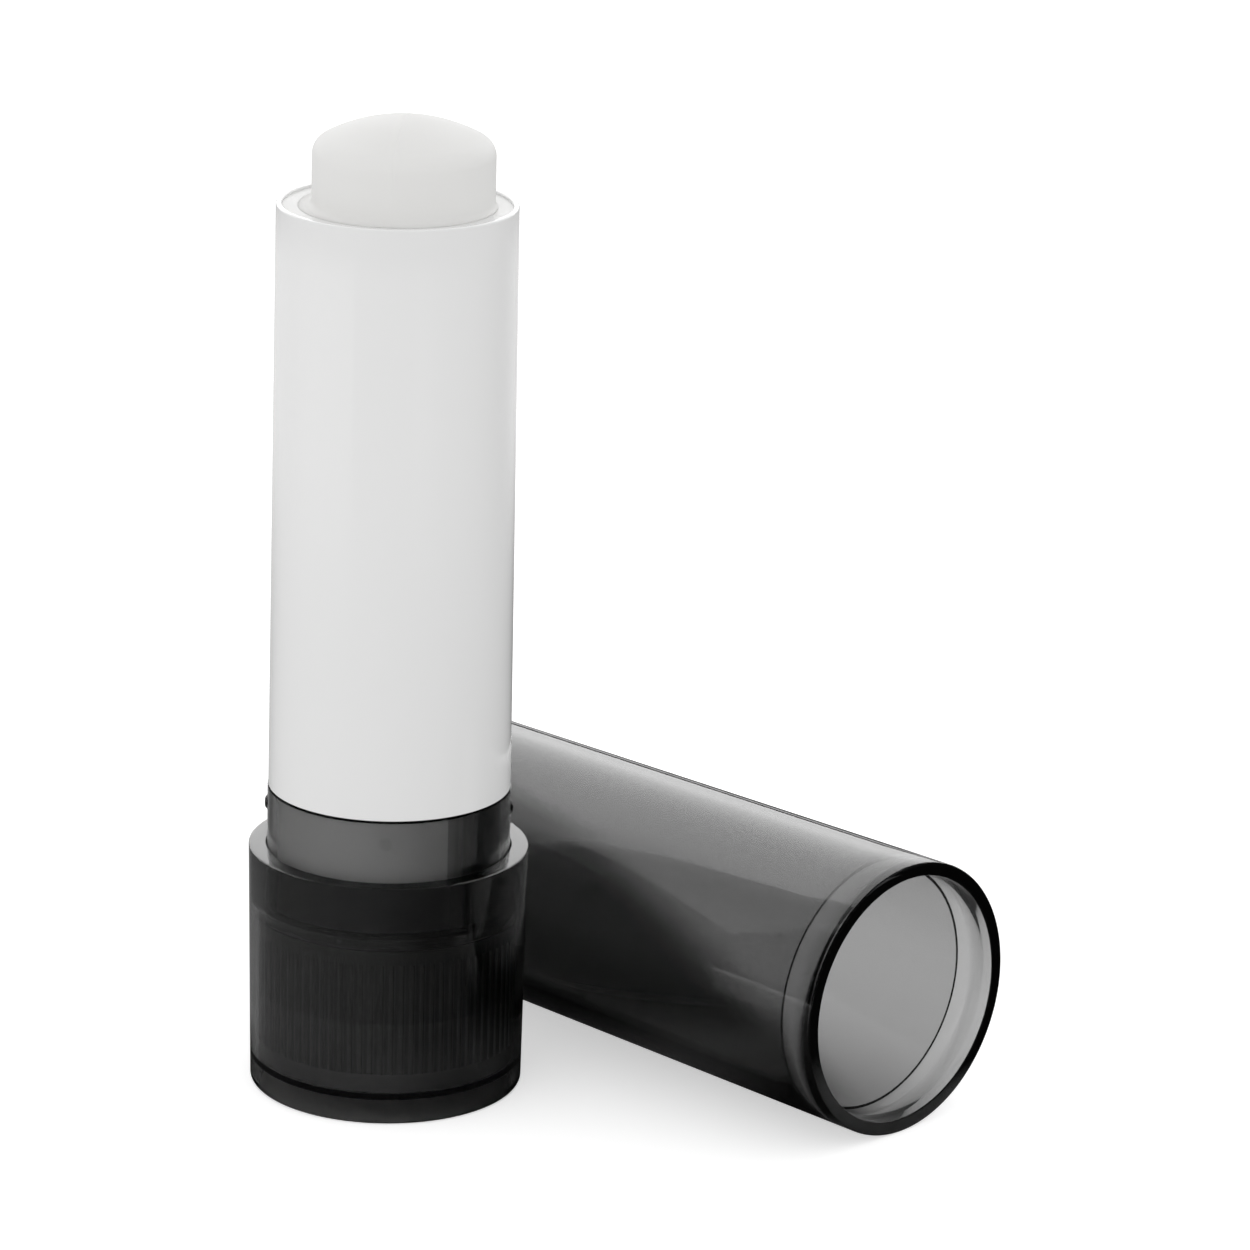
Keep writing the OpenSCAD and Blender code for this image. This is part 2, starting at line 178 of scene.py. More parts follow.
def arc(c, r, a, b, steps=8):
    """Points of an arc about c, from angle a to angle b, in degrees."""
    out = []
    for i in range(steps + 1):
        t = math.radians(a + (b - a) * i / steps)
        out.append((c[0] + r * math.cos(t), c[1] + r * math.sin(t)))
    return out


def finish_mesh(bm, name, body, replaced, sharp=28):
    bmesh.ops.remove_doubles(bm, verts=bm.verts, dist=1e-9)
    bmesh.ops.recalc_face_normals(bm, faces=bm.faces)
    mesh = bpy.data.meshes.new(name)
    bm.to_mesh(mesh)
    bm.free()
    mesh.shade_smooth()
    mesh.set_sharp_from_angle(angle=math.radians(sharp))
    o = bpy.data.objects.new(name, mesh)
    bpy.context.scene.collection.objects.link(o)
    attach(o, body)
    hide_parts(replaced)
    return o


def lathe(profile, segments, shape=None):
    """A closed profile of (r, z) points turned about Z. shape(r, z, angle) may move a point's radius."""
    bm = bmesh.new()
    rings = []
    for r, z in profile:
        if r < 1e-6:
            rings.append([bm.verts.new((0, 0, z * MM))])
            continue
        ring = []
        for k in range(segments):
            a = 2 * math.pi * k / segments
            rr, zz = shape(r, z, a) if shape else (r, z)
            ring.append(bm.verts.new((rr * math.cos(a) * MM, rr * math.sin(a) * MM, zz * MM)))
        rings.append(ring)
    count = len(rings)
    for i in range(count):
        a, b = rings[i], rings[(i + 1) % count]
        if len(a) == 1 and len(b) == 1:
            continue
        for k in range(segments):
            q = (k + 1) % segments
            if len(a) == 1:
                bm.faces.new((a[0], b[q], b[k]))
            elif len(b) == 1:
                bm.faces.new((a[k], a[q], b[0]))
            else:
                bm.faces.new((a[k], a[q], b[q], b[k]))
    return bm


def rows(r0, z0, r1, z1, n):
    """Points between two profile points, both ends left out."""
    return [(r0 + (r1 - r0) * i / n, z0 + (z1 - z0) * i / n) for i in range(1, n)]


# Materials

def material(name):
    m = bpy.data.materials.new(name)
    m.use_nodes = True
    nt = m.node_tree
    bsdf = nt.nodes["Principled BSDF"]
    out = nt.nodes["Material Output"]
    return m, nt, bsdf, out


def noise(nt, scale, detail=3.0, stretch=None, rough=0.5):
    coord = nt.nodes.new("ShaderNodeTexCoord")
    mapping = nt.nodes.new("ShaderNodeMapping")
    mapping.inputs["Scale"].default_value = stretch or (1, 1, 1)
    tex = nt.nodes.new("ShaderNodeTexNoise")
    tex.inputs["Scale"].default_value = scale
    tex.inputs["Detail"].default_value = detail
    tex.inputs["Roughness"].default_value = rough
    nt.links.new(coord.outputs["Object"], mapping.inputs["Vector"])
    nt.links.new(mapping.outputs["Vector"], tex.inputs["Vector"])
    return tex


def spread(nt, socket, low, high, from_low=0.3, from_high=0.7):
    node = nt.nodes.new("ShaderNodeMapRange")
    node.inputs["From Min"].default_value = from_low
    node.inputs["From Max"].default_value = from_high
    node.inputs["To Min"].default_value = low
    node.inputs["To Max"].default_value = high
    nt.links.new(socket, node.inputs["Value"])
    return node.outputs["Result"]


def ramp(tree, value, points):
    """A smooth curve through (input, output) points, as a sum of smooth steps."""
    total = None
    for (x0, y0), (x1, y1) in zip(points, points[1:]):
        step = tree.nodes.new("ShaderNodeMapRange")
        step.interpolation_type = "SMOOTHSTEP"
        step.inputs["From Min"].default_value = x0
        step.inputs["From Max"].default_value = x1
        step.inputs["To Min"].default_value = y0 if total is None else 0.0
        step.inputs["To Max"].default_value = y1 if total is None else y1 - y0
        tree.links.new(value, step.inputs["Value"])
        if total is None:
            total = step.outputs["Result"]
        else:
            total = math_node(tree, "ADD", total, step.outputs["Result"])
    return total


def by_angle(tree, angle, points):
    """The same curve over an angle that the points give in degrees."""
    return ramp(tree, angle, [(math.radians(a), v) for a, v in points])


def math_node(tree, operation, *values):
    node = tree.nodes.new("ShaderNodeMath")
    node.operation = operation
    for socket, value in zip(node.inputs, values):
        if isinstance(value, (int, float)):
            socket.default_value = value
        else:
            tree.links.new(value, socket)
    return node.outputs[0]


def mix_colour(tree, a, b, factor):
    """Both colours are sockets or (r, g, b)."""
    node = tree.nodes.new("ShaderNodeMix")
    node.data_type = "RGBA"
    for name, value in (("A", a), ("B", b)):
        if isinstance(value, tuple):
            node.inputs[name].default_value = (*value, 1)
        else:
            tree.links.new(value, node.inputs[name])
    tree.links.new(factor, node.inputs["Factor"])
    return node.outputs["Result"]


def own_place(tree):
    """The point's height on its own piece, and its angle about Z."""
    coord = tree.nodes.new("ShaderNodeTexCoord")
    split = tree.nodes.new("ShaderNodeSeparateXYZ")
    tree.links.new(coord.outputs["Object"], split.inputs[0])
    return split.outputs["Z"], math_node(tree, "ARCTAN2", split.outputs["Y"], split.outputs["X"])


def along(tree, vector, direction):
    node = tree.nodes.new("ShaderNodeVectorMath")
    node.operation = "DOT_PRODUCT"
    node.inputs[1].default_value = direction
    tree.links.new(vector, node.inputs[0])
    return node.outputs["Value"]


def by_ray(tree, path, ray, low, high):
    """low, or high for that kind of ray. Both are numbers or sockets."""
    node = tree.nodes.new("ShaderNodeMix")
    tree.links.new(path.outputs[ray], node.inputs["Factor"])
    for name, value in (("A", low), ("B", high)):
        if isinstance(value, (int, float)):
            node.inputs[name].default_value = value
        else:
            tree.links.new(value, node.inputs[name])
    return node.outputs["Result"]


def bump(nt, bsdf, height, strength, distance):
    node = nt.nodes.new("ShaderNodeBump")
    node.inputs["Strength"].default_value = strength
    node.inputs["Distance"].default_value = distance
    nt.links.new(height, node.inputs["Height"])
    nt.links.new(node.outputs["Normal"], bsdf.inputs["Normal"])
    return node


def smoke(name, density, rough_low, rough_high, bump_um=0.6):
    m, nt, bsdf, out = material(name)
    bsdf.inputs["Base Color"].default_value = (1, 1, 1, 1)
    bsdf.inputs["Transmission Weight"].default_value = 1.0
    bsdf.inputs["IOR"].default_value = SMOKE_IOR
    fine = noise(nt, 900, 4)
    nt.links.new(spread(nt, fine.outputs["Fac"], rough_low, rough_high), bsdf.inputs["Roughness"])
    wave = noise(nt, 160, 2)
    bump(nt, bsdf, wave.outputs["Fac"], 0.25, bump_um * 1e-6)
    absorb = nt.nodes.new("ShaderNodeVolumeAbsorption")
    absorb.inputs["Color"].default_value = (0, 0, 0, 1)
    absorb.inputs["Density"].default_value = density
    nt.links.new(absorb.outputs["Volume"], out.inputs["Volume"])
    return m


def solid_plastic(name, color, rough_low, rough_high, scatter=0.0, radius=0.001, bump_um=1.0,
                  grain=400, shine=0.5):
    m, nt, bsdf, out = material(name)
    tone = noise(nt, 60, 3)
    duller = tuple(c * 0.985 for c in color)
    nt.links.new(mix_colour(nt, duller, color, tone.outputs["Fac"]), bsdf.inputs["Base Color"])
    fine = noise(nt, grain, 4)
    nt.links.new(spread(nt, fine.outputs["Fac"], rough_low, rough_high), bsdf.inputs["Roughness"])
    bump(nt, bsdf, fine.outputs["Fac"], 0.3, bump_um * 1e-6)
    bsdf.inputs["IOR"].default_value = 1.5
    if scatter:
        bsdf.inputs["Subsurface Weight"].default_value = scatter
        bsdf.inputs["Subsurface Radius"].default_value = (1, 1, 1)
        bsdf.inputs["Subsurface Scale"].default_value = radius
    bsdf.inputs["Specular IOR Level"].default_value = shine
    return m


def wheel_plastic(name):
    """Dark plastic, with painted light below the collar's skirt and on its plain foot, and painted shade
    in the grooves.
    """
    m = solid_plastic(name, (WHEEL_TONE,) * 3, 0.3, 0.4, bump_um=0.6, shine=0.1)
    nt = m.node_tree
    base = nt.nodes["Principled BSDF"].inputs["Base Color"]
    height, around = own_place(nt)
    foot_z, skirt_z, land_z = WHEEL_Z + KNURL_FOOT, SKIRT_Z, WHEEL_TOP_Z - KNURL_LAND
    # Painted light: paler below the collar's skirt, palest on the plain foot
    painted_light = ramp(nt, height, [((foot_z - 0.02) * MM, 1.0), ((foot_z + 0.02) * MM, 0.4),
                              ((skirt_z - 0.04) * MM, 0.4), ((skirt_z + 0.04) * MM, 0.0)])
    tone = mix_colour(nt, base.links[0].from_socket, (WHEEL_PAINTED_LIGHT_TONE,) * 3, painted_light)
    ribbed = ramp(nt, height, [((foot_z - 0.02) * MM, 0.0), ((foot_z + 0.02) * MM, 1.0),
                               (land_z * MM, 1.0), ((land_z + 0.04) * MM, 0.0)])
    # Painted shade in the grooves between the ribs
    wave = math_node(nt, "COSINE", math_node(nt, "MULTIPLY", around, KNURL_COUNT))
    painted_groove_shade = math_node(nt, "MULTIPLY", ramp(nt, wave, [(-1.0, 0.35), (0.0, 0.0)]), ribbed)
    dim = nt.nodes.new("ShaderNodeVectorMath")
    dim.operation = "SCALE"
    nt.links.new(tone, dim.inputs[0])
    nt.links.new(math_node(nt, "MULTIPLY_ADD", painted_groove_shade, -1.0, 1.0), dim.inputs["Scale"])
    nt.links.new(dim.outputs["Vector"], base)
    return m


def tube_with_painted_shade(name):
    """White plastic, with painted shade in a sector below the sleeve that shows through the neck's right
    side.
    """
    m = solid_plastic(name, (0.84, 0.84, 0.835), 0.35, 0.45, shine=0.15)
    nt = m.node_tree
    base = nt.nodes["Principled BSDF"].inputs["Base Color"]
    height, around = own_place(nt)
    below = spread(nt, height, 1.0, 0.0, (SLEEVE_Z - 0.05) * MM, SLEEVE_Z * MM)
    # Painted shade: the tube below the sleeve is darkened in a sector by angle about Z
    painted_shade = math_node(nt, "MULTIPLY", by_angle(nt, around, PAINTED_SHADE_SECTOR), below)
    nt.links.new(mix_colour(nt, base.links[0].from_socket, (PAINTED_SHADE_TONE,) * 3, painted_shade), base)
    return m


SMOKE_SHELL = smoke("smoke_shell", SHELL_DENSITY, 0.02, 0.07)
SMOKE_WHEEL = wheel_plastic("smoke_wheel")
SMOKE_COLLAR = smoke("smoke_collar", COLLAR_DENSITY, 0.04, 0.1)
SMOKE_CAP = smoke("smoke_cap", CAP_DENSITY, 0.02, 0.06)
WHITE_SLEEVE = solid_plastic("white_sleeve", (0.86, 0.86, 0.858), 0.04, 0.08, shine=0.45)
WHITE_TUBE = tube_with_painted_shade("white_tube")
NATURAL = solid_plastic("natural_plastic", (0.78, 0.77, 0.73), 0.3, 0.45, 0.2, 0.001)
WAX = solid_plastic("balm_wax", (0.83, 0.827, 0.815), 0.5, 0.6, 0.3, 0.0012, 3.0, 250, 0.2)


def dress(o, m):
    o.data.materials.clear()
    o.data.materials.append(m)
    return o


# Pieces

def make_sleeve():
    profile = [(PRESS_R, SLEEVE_Z), (SLEEVE_FOOT_R, SLEEVE_Z + 0.01)]
    profile += rows(SLEEVE_FOOT_R, SLEEVE_Z + 0.01, SLEEVE_TOP_R, RIM_Z - SLEEVE_EDGE_R, 12)
    profile += arc((SLEEVE_TOP_R - SLEEVE_EDGE_R, RIM_Z - SLEEVE_EDGE_R), SLEEVE_EDGE_R, 0, 90)
    profile += arc((PRESS_R + SLEEVE_EDGE_R, RIM_Z - SLEEVE_EDGE_R), SLEEVE_EDGE_R, 90, 180)
    bm = lathe(profile, PLAIN_SEGMENTS)
    return dress(finish_mesh(bm, "sleeve_gloss", "barrel", "outer_sleeve"),
                 WHITE_SLEEVE)


def make_collar():
    neck = rows(NECK_R, FLANGE_TOP_Z, NECK_R, SLEEVE_Z - NECK_GROOVE_H, 72)
    profile = [(SKIRT_BORE_R, SKIRT_Z), (SKIRT_R, SKIRT_Z), (SKIRT_R, FLANGE_Z),
               (FLANGE_R, FLANGE_Z), (FLANGE_R, FLANGE_TOP_Z), (NECK_R, FLANGE_TOP_Z)]
    profile += neck
    profile += [(NECK_R, SLEEVE_Z - NECK_GROOVE_H), (NECK_GROOVE_R, SLEEVE_Z - NECK_GROOVE_H),
                (NECK_GROOVE_R, SLEEVE_Z - eps), (LOCK_R, SLEEVE_Z - eps),
                (LOCK_R, SLEEVE_Z - LOCK_H), (PRESS_R, SLEEVE_Z - LOCK_H), (PRESS_R, SEAT_Z),
                (SKIRT_BORE_R, SEAT_Z)]
    turns = [math.radians(NUB_TURN + 360 * i / NUB_COUNT) for i in range(NUB_COUNT)]

    def nub(r, z, a):
        if abs(r - NECK_R) > 1e-6:
            return r, z
        for t in turns:
            d = math.hypot(NECK_R * math.remainder(a - t, 2 * math.pi), z - NUB_Z)
            if d < NUB_R:
                return r + NUB_H * (1 - (d / NUB_R) ** 4), z
        return r, z

    bm = lathe(profile, FINE_SEGMENTS, nub)
    return dress(finish_mesh(bm, "collar_clear", "barrel", "collar"),
                 SMOKE_COLLAR)


def make_tube():
    gap = 0.03
    low, high = SLEEVE_Z - LOCK_H - gap, SLEEVE_Z + gap
    edge = 0.01
    top_r = PRESS_R - 0.003
    profile = [(JOURNAL_HOLE_R, SEAT_Z), (TUBE_R, SEAT_Z), (TUBE_R, low), (LOCK_R - gap, low),
               (LOCK_R - gap, high), (TUBE_R, high)]
    profile += rows(TUBE_R, high, top_r, TUBE_TOP_Z - edge, 12)
    profile += arc((top_r - edge, TUBE_TOP_Z - edge), edge, 0, 90, 4)
    profile += arc((TUBE_BORE_R + edge, TUBE_TOP_Z - edge), edge, 90, 180, 4)
    profile += [(TUBE_BORE_R, GROOVE_TOP_Z + eps), (TUBE_BORE_R, GROOVE_TOP_Z),
                (TUBE_BORE_R, TUBE_FLOOR_TOP_Z), (JOURNAL_HOLE_R, TUBE_FLOOR_TOP_Z)]
    half = math.asin(GROOVE_W / 2 / GROOVE_R)
    pitch = 2 * math.pi / GROOVE_COUNT

    def guide(r, z, a):
        inside = abs(r - TUBE_BORE_R) < 1e-6 and z <= GROOVE_TOP_Z
        if inside and abs(math.remainder(a, pitch)) < half:
            return GROOVE_R, z
        return r, z

    bm = lathe(profile, FINE_SEGMENTS, guide)
    return dress(finish_mesh(bm, "tube_fine", "barrel", "inner_tube"), WHITE_TUBE)


def make_balm():
    """The nose is cast off the axis, with a faint seam over its crown and a tiny tip."""
    crown_z = NOSE_TOP_Z - TIP_H - CROWN_R
    lean = math.asin((NOSE_R - NOSE_EDGE_R) / (CROWN_R - NOSE_EDGE_R))
    edge_z = crown_z + (CROWN_R - NOSE_EDGE_R) * math.cos(lean)
    tilt = 90 - math.degrees(lean)
    cup_r = CUP_BALM_R - CUP_PLAY
    profile = [(0, BALM_BORE_TOP_Z), (BALM_BORE_R, BALM_BORE_TOP_Z), (BALM_BORE_R, CUP_Z),
               (cup_r, CUP_Z), (cup_r, FIN_TOP_Z), (cup_r, FIN_TOP_Z + eps), (cup_r, CUP_TOP_Z),
               (BALM_R, CUP_TOP_Z), (BALM_R, TUBE_TOP_Z - 3), (BALM_TOP_R, TUBE_TOP_Z - 0.02)]
    foot = TUBE_TOP_Z + 0.004
    lip = foot + BALM_LIP_H
    profile += [(BALM_TOP_R, foot), (BALM_LIP_R + NOSE_SHIFT, foot), (BALM_LIP_R + NOSE_SHIFT, lip)]
    profile += arc((NOSE_R + NOSE_FOOT_R, lip + NOSE_FOOT_R), NOSE_FOOT_R, -90, -180, 10)
    profile += rows(NOSE_R, lip + NOSE_FOOT_R, NOSE_R, edge_z, 6)
    profile += arc((NOSE_R - NOSE_EDGE_R, edge_z), NOSE_EDGE_R, 0, tilt, 24)
    profile += arc((0, crown_z), CROWN_R, tilt, 90, 56)[1:]
    profile[-1] = (0, profile[-1][1])
    half = math.asin(FIN_W / 2 / FIN_IN_R)
    pitch = 2 * math.pi / FIN_COUNT
    seam = math.radians(SEAM_TURN)

    def cast(r, z, a):
        if abs(r - cup_r) < 1e-6 and z <= FIN_TOP_Z:
            return (FIN_IN_R if abs(math.remainder(a, pitch)) < half else r), z
        if z < lip + NOSE_FOOT_R:
            return r, z
        seam_off = r * math.sin(a - seam)
        ridge = SEAM_H * math.exp(-(seam_off / SEAM_W) ** 2) * min(1, r / 0.4)
        ridge *= min(1, max(0, (z - SEAM_END_Z) / 1.5))
        ridge += TIP_H * math.exp(-(r / TIP_R) ** 2)
        up = min(1, max(0, (z - edge_z) / (NOSE_EDGE_R * math.cos(lean))))
        return r + ridge * (1 - up), z + ridge * up

    bm = lathe(profile, FINE_SEGMENTS, cast)
    shift = Vector((math.cos(math.radians(NOSE_TURN)), math.sin(math.radians(NOSE_TURN)), 0))
    for v in bm.verts:
        reach = math.hypot(v.co.x, v.co.y)
        if v.co.z > foot * MM + 1e-9 or reach > (BALM_TOP_R + 0.01) * MM:
            v.co += shift * NOSE_SHIFT * MM
            reach = math.hypot(v.co.x, v.co.y)
            if reach > BALM_LIP_R * MM:
                v.co.x *= BALM_LIP_R * MM / reach
                v.co.y *= BALM_LIP_R * MM / reach
        v.co.z = min(v.co.z, NOSE_TOP_Z * MM)
    return dress(finish_mesh(bm, "balm_fine", "balm", "balm_bullet"), WAX)


def make_wheel():
    ribs_z, land_z = WHEEL_Z + KNURL_FOOT, WHEEL_TOP_Z - KNURL_LAND
    profile = [(0, WHEEL_Z), (WHEEL_PLAIN_R, WHEEL_Z), (WHEEL_PLAIN_R, ribs_z), (KNURL_R, ribs_z + eps)]
    profile += rows(KNURL_R, ribs_z + eps, KNURL_R, land_z - eps, 10)
    profile += [(KNURL_R, land_z - eps), (WHEEL_R, land_z), (WHEEL_R, WHEEL_TOP_Z),
                (WHEEL_BORE_R, WHEEL_TOP_Z), (WHEEL_BORE_R, WHEEL_FLOOR_Z)]
    profile += rows(WHEEL_BORE_R, WHEEL_FLOOR_Z, HUB_R, WHEEL_FLOOR_Z, 12)
    profile += [(HUB_R, WHEEL_FLOOR_Z), (HUB_R, HUB_TOP_Z), (SOCKET_W / 2, HUB_TOP_Z),
                (SOCKET_W / 2, WHEEL_FLOOR_Z), (0, WHEEL_FLOOR_Z)]
    rib = 2 * math.pi / KNURL_COUNT
    web = 2 * math.pi / WEB_COUNT

    def knurl(r, z, a):
        if abs(r - KNURL_R) < 1e-6:
            off = abs(math.remainder(a, rib)) / rib
            rise = min(1, max(0, (0.25 - off) / 0.12))
            return WHEEL_PLAIN_R + (KNURL_R - WHEEL_PLAIN_R) * rise, z
        if abs(r - SOCKET_W / 2) < 1e-6:
            return r / max(abs(math.cos(a)), abs(math.sin(a))), z
        if z == WHEEL_FLOOR_Z and r >= HUB_R and r * abs(math.sin(math.remainder(a, web))) < WEB_W / 2:
            return r, WEB_TOP_Z
        return r, z

    bm = lathe(profile, KNURL_SEGMENTS, knurl)
    return dress(finish_mesh(bm, "wheel_fine", "base", "drive_wheel"), SMOKE_WHEEL)


def make_shell():
    profile = arc((SHELL_FOOT_R - FOOT_EDGE_R, FOOT_EDGE_R), FOOT_EDGE_R, -90, 0)
    top = (SHOULDER_R, BASE_H - SHOULDER_EDGE_R)
    profile += rows(SHELL_FOOT_R, FOOT_EDGE_R, top[0], top[1], 8)
    profile += arc((SHOULDER_R - SHOULDER_EDGE_R, BASE_H - SHOULDER_EDGE_R), SHOULDER_EDGE_R, 0, 90)
    profile += [(NECK_HOLE_R, BASE_H), (NECK_HOLE_R, SHELL_STEP_Z), (SHELL_BORE_R, SHELL_STEP_Z),
                (SHELL_BORE_R, WHEEL_Z), (0, WHEEL_Z), (0, FOOT_RECESS),
                (FOOT_BORE_R, FOOT_RECESS), (FOOT_BORE_R, 0)]
    bm = lathe(profile, PLAIN_SEGMENTS)
    return dress(finish_mesh(bm, "base_clear", "base", "base_shell"), SMOKE_SHELL)


def make_cap():
    profile = [(0, 0)]
    profile += arc((CAP_END_OUTER_R - CAP_END_R, CAP_END_R), CAP_END_R, -90, 0)
    profile += rows(CAP_END_OUTER_R, CAP_END_R, CAP_MOUTH_R, CAP_LEN - MOUTH_EDGE_R, 12)
    profile += arc((CAP_MOUTH_R - MOUTH_EDGE_R, CAP_LEN - MOUTH_EDGE_R), MOUTH_EDGE_R, 0, 90, 4)
    profile += arc((CAP_MOUTH_BORE_R + MOUTH_EDGE_R, CAP_LEN - MOUTH_EDGE_R), MOUTH_EDGE_R,
                   90, 180, 4)
    ball = (BEAD_HALF_W ** 2 + BEAD_H ** 2) / (2 * BEAD_H)
    half = math.degrees(math.asin(BEAD_HALF_W / ball))
    profile += arc((CAP_MOUTH_BORE_R + ball - BEAD_H, CAP_LEN - BEAD_Z), ball, 180 - half,
                   180 + half, 12)
    profile += [(CAP_MOUTH_BORE_R, CAP_LEN - CAP_STEP_Z), (CAP_BORE_R, CAP_LEN - CAP_STEP_Z)]
    low = (CAP_BORE_END_R, CAP_END + CAP_END_R / 2)
    profile += rows(CAP_BORE_R, CAP_LEN - CAP_STEP_Z, low[0], low[1], 12)
    profile += arc((CAP_BORE_END_R - CAP_END_R / 2, CAP_END + CAP_END_R / 2), CAP_END_R / 2, 0,
                   -90)
    profile += [(0, CAP_END)]
    bm = lathe(profile, PLAIN_SEGMENTS)
    place = (Matrix.Translation(Vector((CAP_MOUTH_X, CAP_Y, CAP_MOUTH_R * math.cos(CAP_TILT))) * MM)
             @ Matrix.Rotation(math.pi / 2 - CAP_TILT, 4, "Y")
             @ Matrix.Translation((0, 0, -CAP_LEN * MM)))
    bmesh.ops.transform(bm, matrix=place, verts=bm.verts)
    return dress(finish_mesh(bm, "cap_clear", "cap", "cap"), SMOKE_CAP)


make_sleeve()
make_collar()
make_shell()
make_cap()
make_tube()
make_wheel()
make_balm()
dress(nodes["spindle"], NATURAL)
dress(nodes["elevator_cup"], NATURAL)

# Floor

floor_mesh = bpy.data.meshes.new("floor")
bm = bmesh.new()
bmesh.ops.create_circle(bm, cap_ends=True, radius=FLOOR_R, segments=96,
                        matrix=Matrix.Translation((0, 0, -FLOOR_DROP)))
bm.to_mesh(floor_mesh)
bm.free()
floor = bpy.data.objects.new("floor", floor_mesh)
bpy.context.scene.collection.objects.link(floor)
fm = bpy.data.materials.new("floor")
fm.use_nodes = True
nt = fm.node_tree
nt.nodes.clear()
out = nt.nodes.new("ShaderNodeOutputMaterial")
path = nt.nodes.new("ShaderNodeLightPath")
coord = nt.nodes.new("ShaderNodeTexCoord")
place = coord.outputs["Object"]
side = along(nt, place, SIDE)
front = along(nt, place, FRONT)
turn = math_node(nt, "ARCTAN2", side, front)
length = nt.nodes.new("ShaderNodeVectorMath")
length.operation = "LENGTH"
nt.links.new(place, length.inputs[0])
far = length.outputs["Value"]
# Painted light and shade on what glossy surfaces see of the sheet near the stick: dim, paler close to
# it, and dark to its right
near_tone = by_angle(nt, turn, [(-175, 0.7), (-140, 0.25), (-100, 0.28), (-60, 0.38),
                                (-20, 0.27), (10, 0.17), (45, 0.15), (75, 0.03),
                                (110, 0.02), (165, 0.03), (179, 0.4)])
close_tone = ramp(nt, far, [(0.016, 0.32), (0.03, 0.0)])
near_tone = math_node(nt, "MAXIMUM", near_tone, close_tone)
# Where the base touches the sheet it is in its own shade
contact = ramp(nt, far, [(0.0095, 0.05), (0.02, 1.0)])
near_tone = math_node(nt, "MULTIPLY", near_tone, contact)
# A painted pool of light before the cap's mouth, which the cap's rim mirrors
mouth = nt.nodes.new("ShaderNodeVectorMath")
mouth.operation = "DISTANCE"
mouth.inputs[1].default_value = (0.034, 0.022, 0)
nt.links.new(place, mouth.inputs[0])
near_tone = math_node(nt, "MAXIMUM", near_tone,
                      ramp(nt, mouth.outputs["Value"], [(0.004, 0.55), (0.012, 0.0)]))
# Painted bands of light and shade that the upright barrel mirrors, further off
far_tone = by_angle(nt, turn, [(-150, 0.9), (-110, 0.8), (-75, 1.2), (-38, 1.3), (-36, 0.7),
                               (19, 0.75), (21, 1.0), (60, 0.6), (110, 0.1), (150, 0.9)])
reach = ramp(nt, far, [(0.1, 0.0), (0.19, 1.0)])
tone_mix = nt.nodes.new("ShaderNodeMix")
nt.links.new(reach, tone_mix.inputs["Factor"])
nt.links.new(near_tone, tone_mix.inputs["A"])
nt.links.new(far_tone, tone_mix.inputs["B"])
# The sheet ends before the horizon
sheet = ramp(nt, far, [(0.23, 1.0), (0.35, 0.08)])
glossy_tone = math_node(nt, "MULTIPLY", tone_mix.outputs["Result"], sheet)
# What is seen of it through the cap: painted shadow under the cap, and a painted glow past a slanting
# edge
slant = along(nt, place, (0.55, 1, 0))
painted_glow_through_cap = ramp(nt, slant, [(0.03, 0.0), (0.036, 0.55)])

# Painted shade for diffuse rays: the sheet darker to the right
painted_side_shade = ramp(nt, side, [(-0.04, 0.92), (0.06, 0.74)])
shade = by_ray(nt, path, "Is Glossy Ray", painted_side_shade, glossy_tone)
# Painted shade: darker to the right, away from the base, and a painted shadow under the cap
through = by_angle(nt, turn, [(0, 0.9), (35, 0.1), (50, 0.1), (75, 0.9)])
away = ramp(nt, far, [(0.011, 0.0), (0.015, 1.0)])
through = math_node(nt, "MULTIPLY_ADD", math_node(nt, "SUBTRACT", through, 0.9), away, 0.9)
painted_cap_shadow = math_node(nt, "MULTIPLY", ramp(nt, slant, [(0.028, 1.0), (0.036, 0.0)]),
                  ramp(nt, along(nt, place, (0, 1, 0)), [(0.006, 0.0), (0.012, 1.0)]))
through = math_node(nt, "MULTIPLY", through, math_node(nt, "MULTIPLY_ADD", painted_cap_shadow, -0.85, 1.0))
shade = by_ray(nt, path, "Is Transmission Ray", shade, through)
shade = by_ray(nt, path, "Is Camera Ray", shade, 0.9)
colour = nt.nodes.new("ShaderNodeCombineColor")
for channel in ("Red", "Green", "Blue"):
    nt.links.new(shade, colour.inputs[channel])
diffuse = nt.nodes.new("ShaderNodeBsdfDiffuse")
nt.links.new(colour.outputs["Color"], diffuse.inputs["Color"])
glow = nt.nodes.new("ShaderNodeEmission")
strength = by_ray(nt, path, "Is Transmission Ray", 0.0, painted_glow_through_cap)
strength = by_ray(nt, path, "Is Camera Ray", strength, 0.5)
nt.links.new(strength, glow.inputs["Strength"])
add = nt.nodes.new("ShaderNodeAddShader")
nt.links.new(diffuse.outputs[0], add.inputs[0])
nt.links.new(glow.outputs[0], add.inputs[1])
nt.links.new(add.outputs[0], out.inputs["Surface"])
dress(floor, fm)

# World: a white studio

world = bpy.data.worlds.new("studio")
bpy.context.scene.world = world
world.use_nodes = True
nt = world.node_tree
nt.nodes.clear()
out = nt.nodes.new("ShaderNodeOutputWorld")
back = nt.nodes.new("ShaderNodeBackground")
back.inputs["Color"].default_value = (1, 1, 1, 1)
path = nt.nodes.new("ShaderNodeLightPath")
coord = nt.nodes.new("ShaderNodeTexCoord")
sky = coord.outputs["Generated"]
# Mirrored: a bright backdrop behind the object, above the horizon
backdrop = ramp(nt, along(nt, sky, Vector((-0.7, 0.7, 0.6)).normalized()),
                [(0.1, 0.03), (0.3, 0.1), (0.55, 1.6), (0.8, 2.6)])
backdrop = math_node(nt, "MULTIPLY", backdrop,
                     ramp(nt, along(nt, sky, (0, 0, 1)), [(0.0, 0.6), (0.3, 1.0)]))
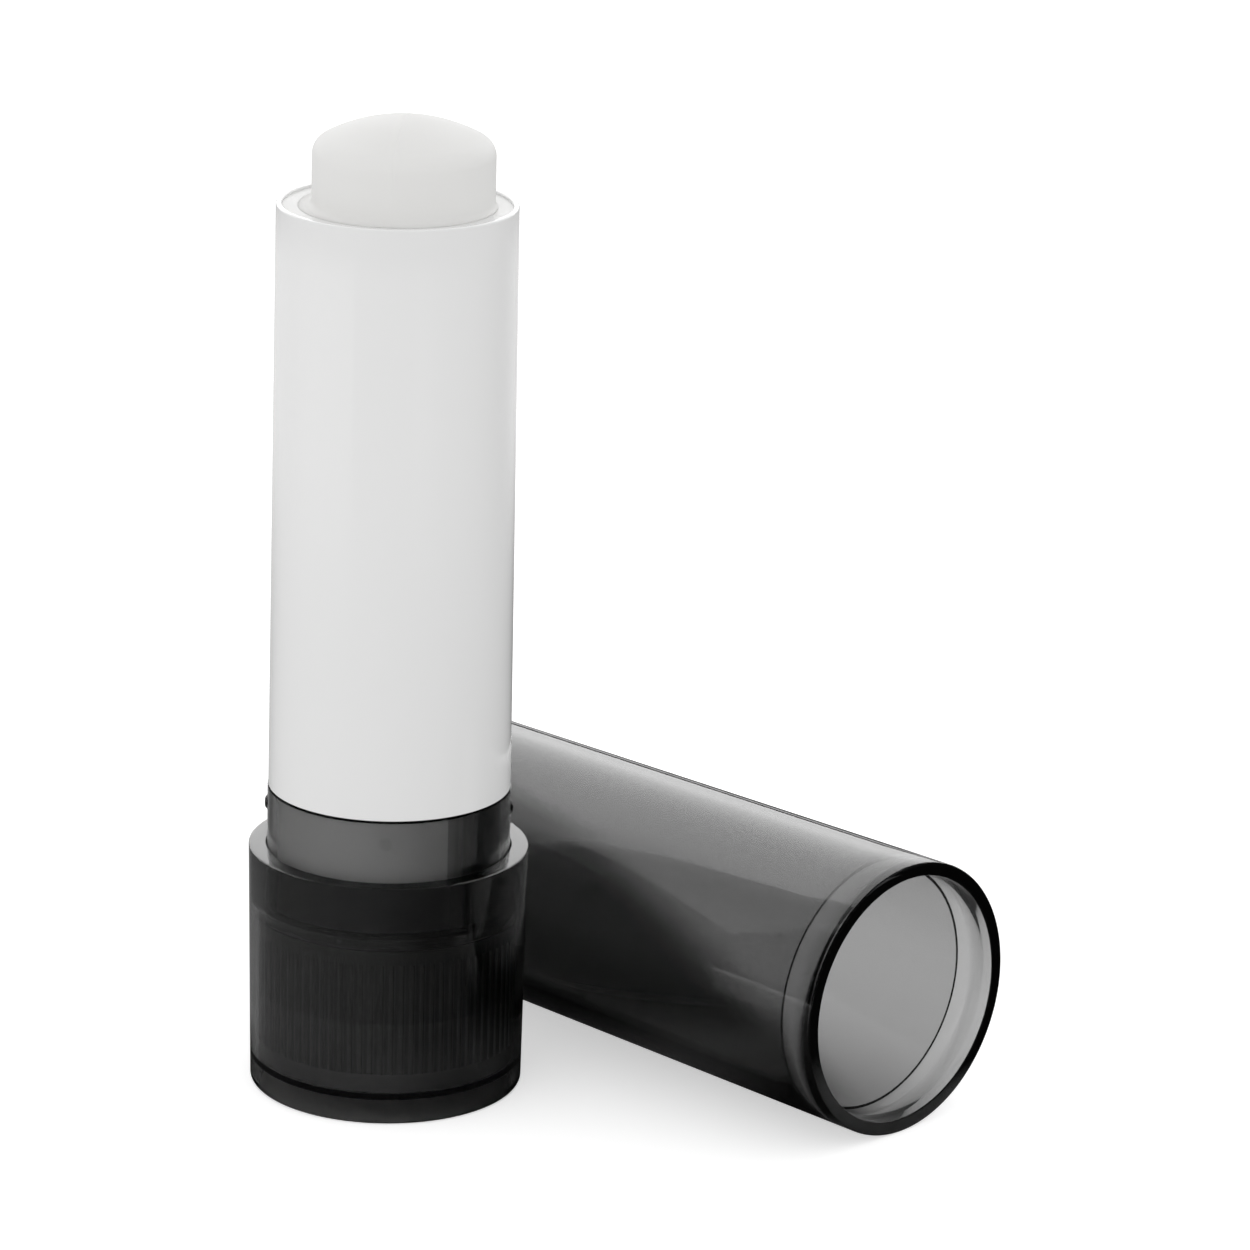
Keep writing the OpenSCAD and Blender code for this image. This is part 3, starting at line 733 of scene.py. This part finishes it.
# Diffuse light: an even dome, a little weaker overhead and to the right
dome = ramp(nt, along(nt, sky, (0, 0, 1)), [(-0.2, 1.12), (0.3, 1.13), (0.95, 0.71)])
lean = math_node(nt, "MULTIPLY_ADD", along(nt, sky, (-0.75, -0.3, 0)), 0.025, 1.0)
dome = math_node(nt, "MULTIPLY", dome, lean)
strength = by_ray(nt, path, "Is Glossy Ray", dome, backdrop)
# Through the smoke: bright in front and to the left, dark to the right
heading = math_node(nt, "ARCTAN2", along(nt, sky, SIDE), along(nt, sky, FRONT))
window = by_angle(nt, heading, [(-170, 1.5), (-90, 2.4), (0, 2.8),
                                (45, 0.05), (110, 0.05), (150, 1.5)])
strength = by_ray(nt, path, "Is Transmission Ray", strength, window)
strength = by_ray(nt, path, "Is Camera Ray", strength, 1.0)
nt.links.new(strength, back.inputs["Strength"])
nt.links.new(back.outputs[0], out.inputs["Surface"])

# Camera at the photograph's angle

level = Vector((math.cos(CAMERA_PAN), -math.sin(CAMERA_PAN), 0))
ahead = Vector((math.sin(CAMERA_PAN), math.cos(CAMERA_PAN), 0))
forward = ahead * math.cos(CAMERA_TILT) - Vector((0, 0, math.sin(CAMERA_TILT)))
upright = level.cross(forward)
right = level * math.cos(CAMERA_ROLL) + upright * math.sin(CAMERA_ROLL)
up = upright * math.cos(CAMERA_ROLL) - level * math.sin(CAMERA_ROLL)
data = bpy.data.cameras.new("camera")
data.sensor_width = SENSOR
data.sensor_fit = "HORIZONTAL"
data.lens = SENSOR * FOCAL_PX / PHOTO_PX
data.clip_start = 0.01
data.clip_end = 20
camera = bpy.data.objects.new("camera", data)
bpy.context.scene.collection.objects.link(camera)
facing = Matrix((right, up, -forward)).transposed().to_4x4()
camera.matrix_world = Matrix.Translation(CAMERA_PLACE) @ facing
bpy.context.scene.camera = camera

view = bpy.context.scene.view_settings
view.view_transform = "Standard"
bpy.context.scene.cycles.max_bounces = 24
bpy.context.scene.cycles.transmission_bounces = 24
bpy.context.scene.cycles.transparent_max_bounces = 16
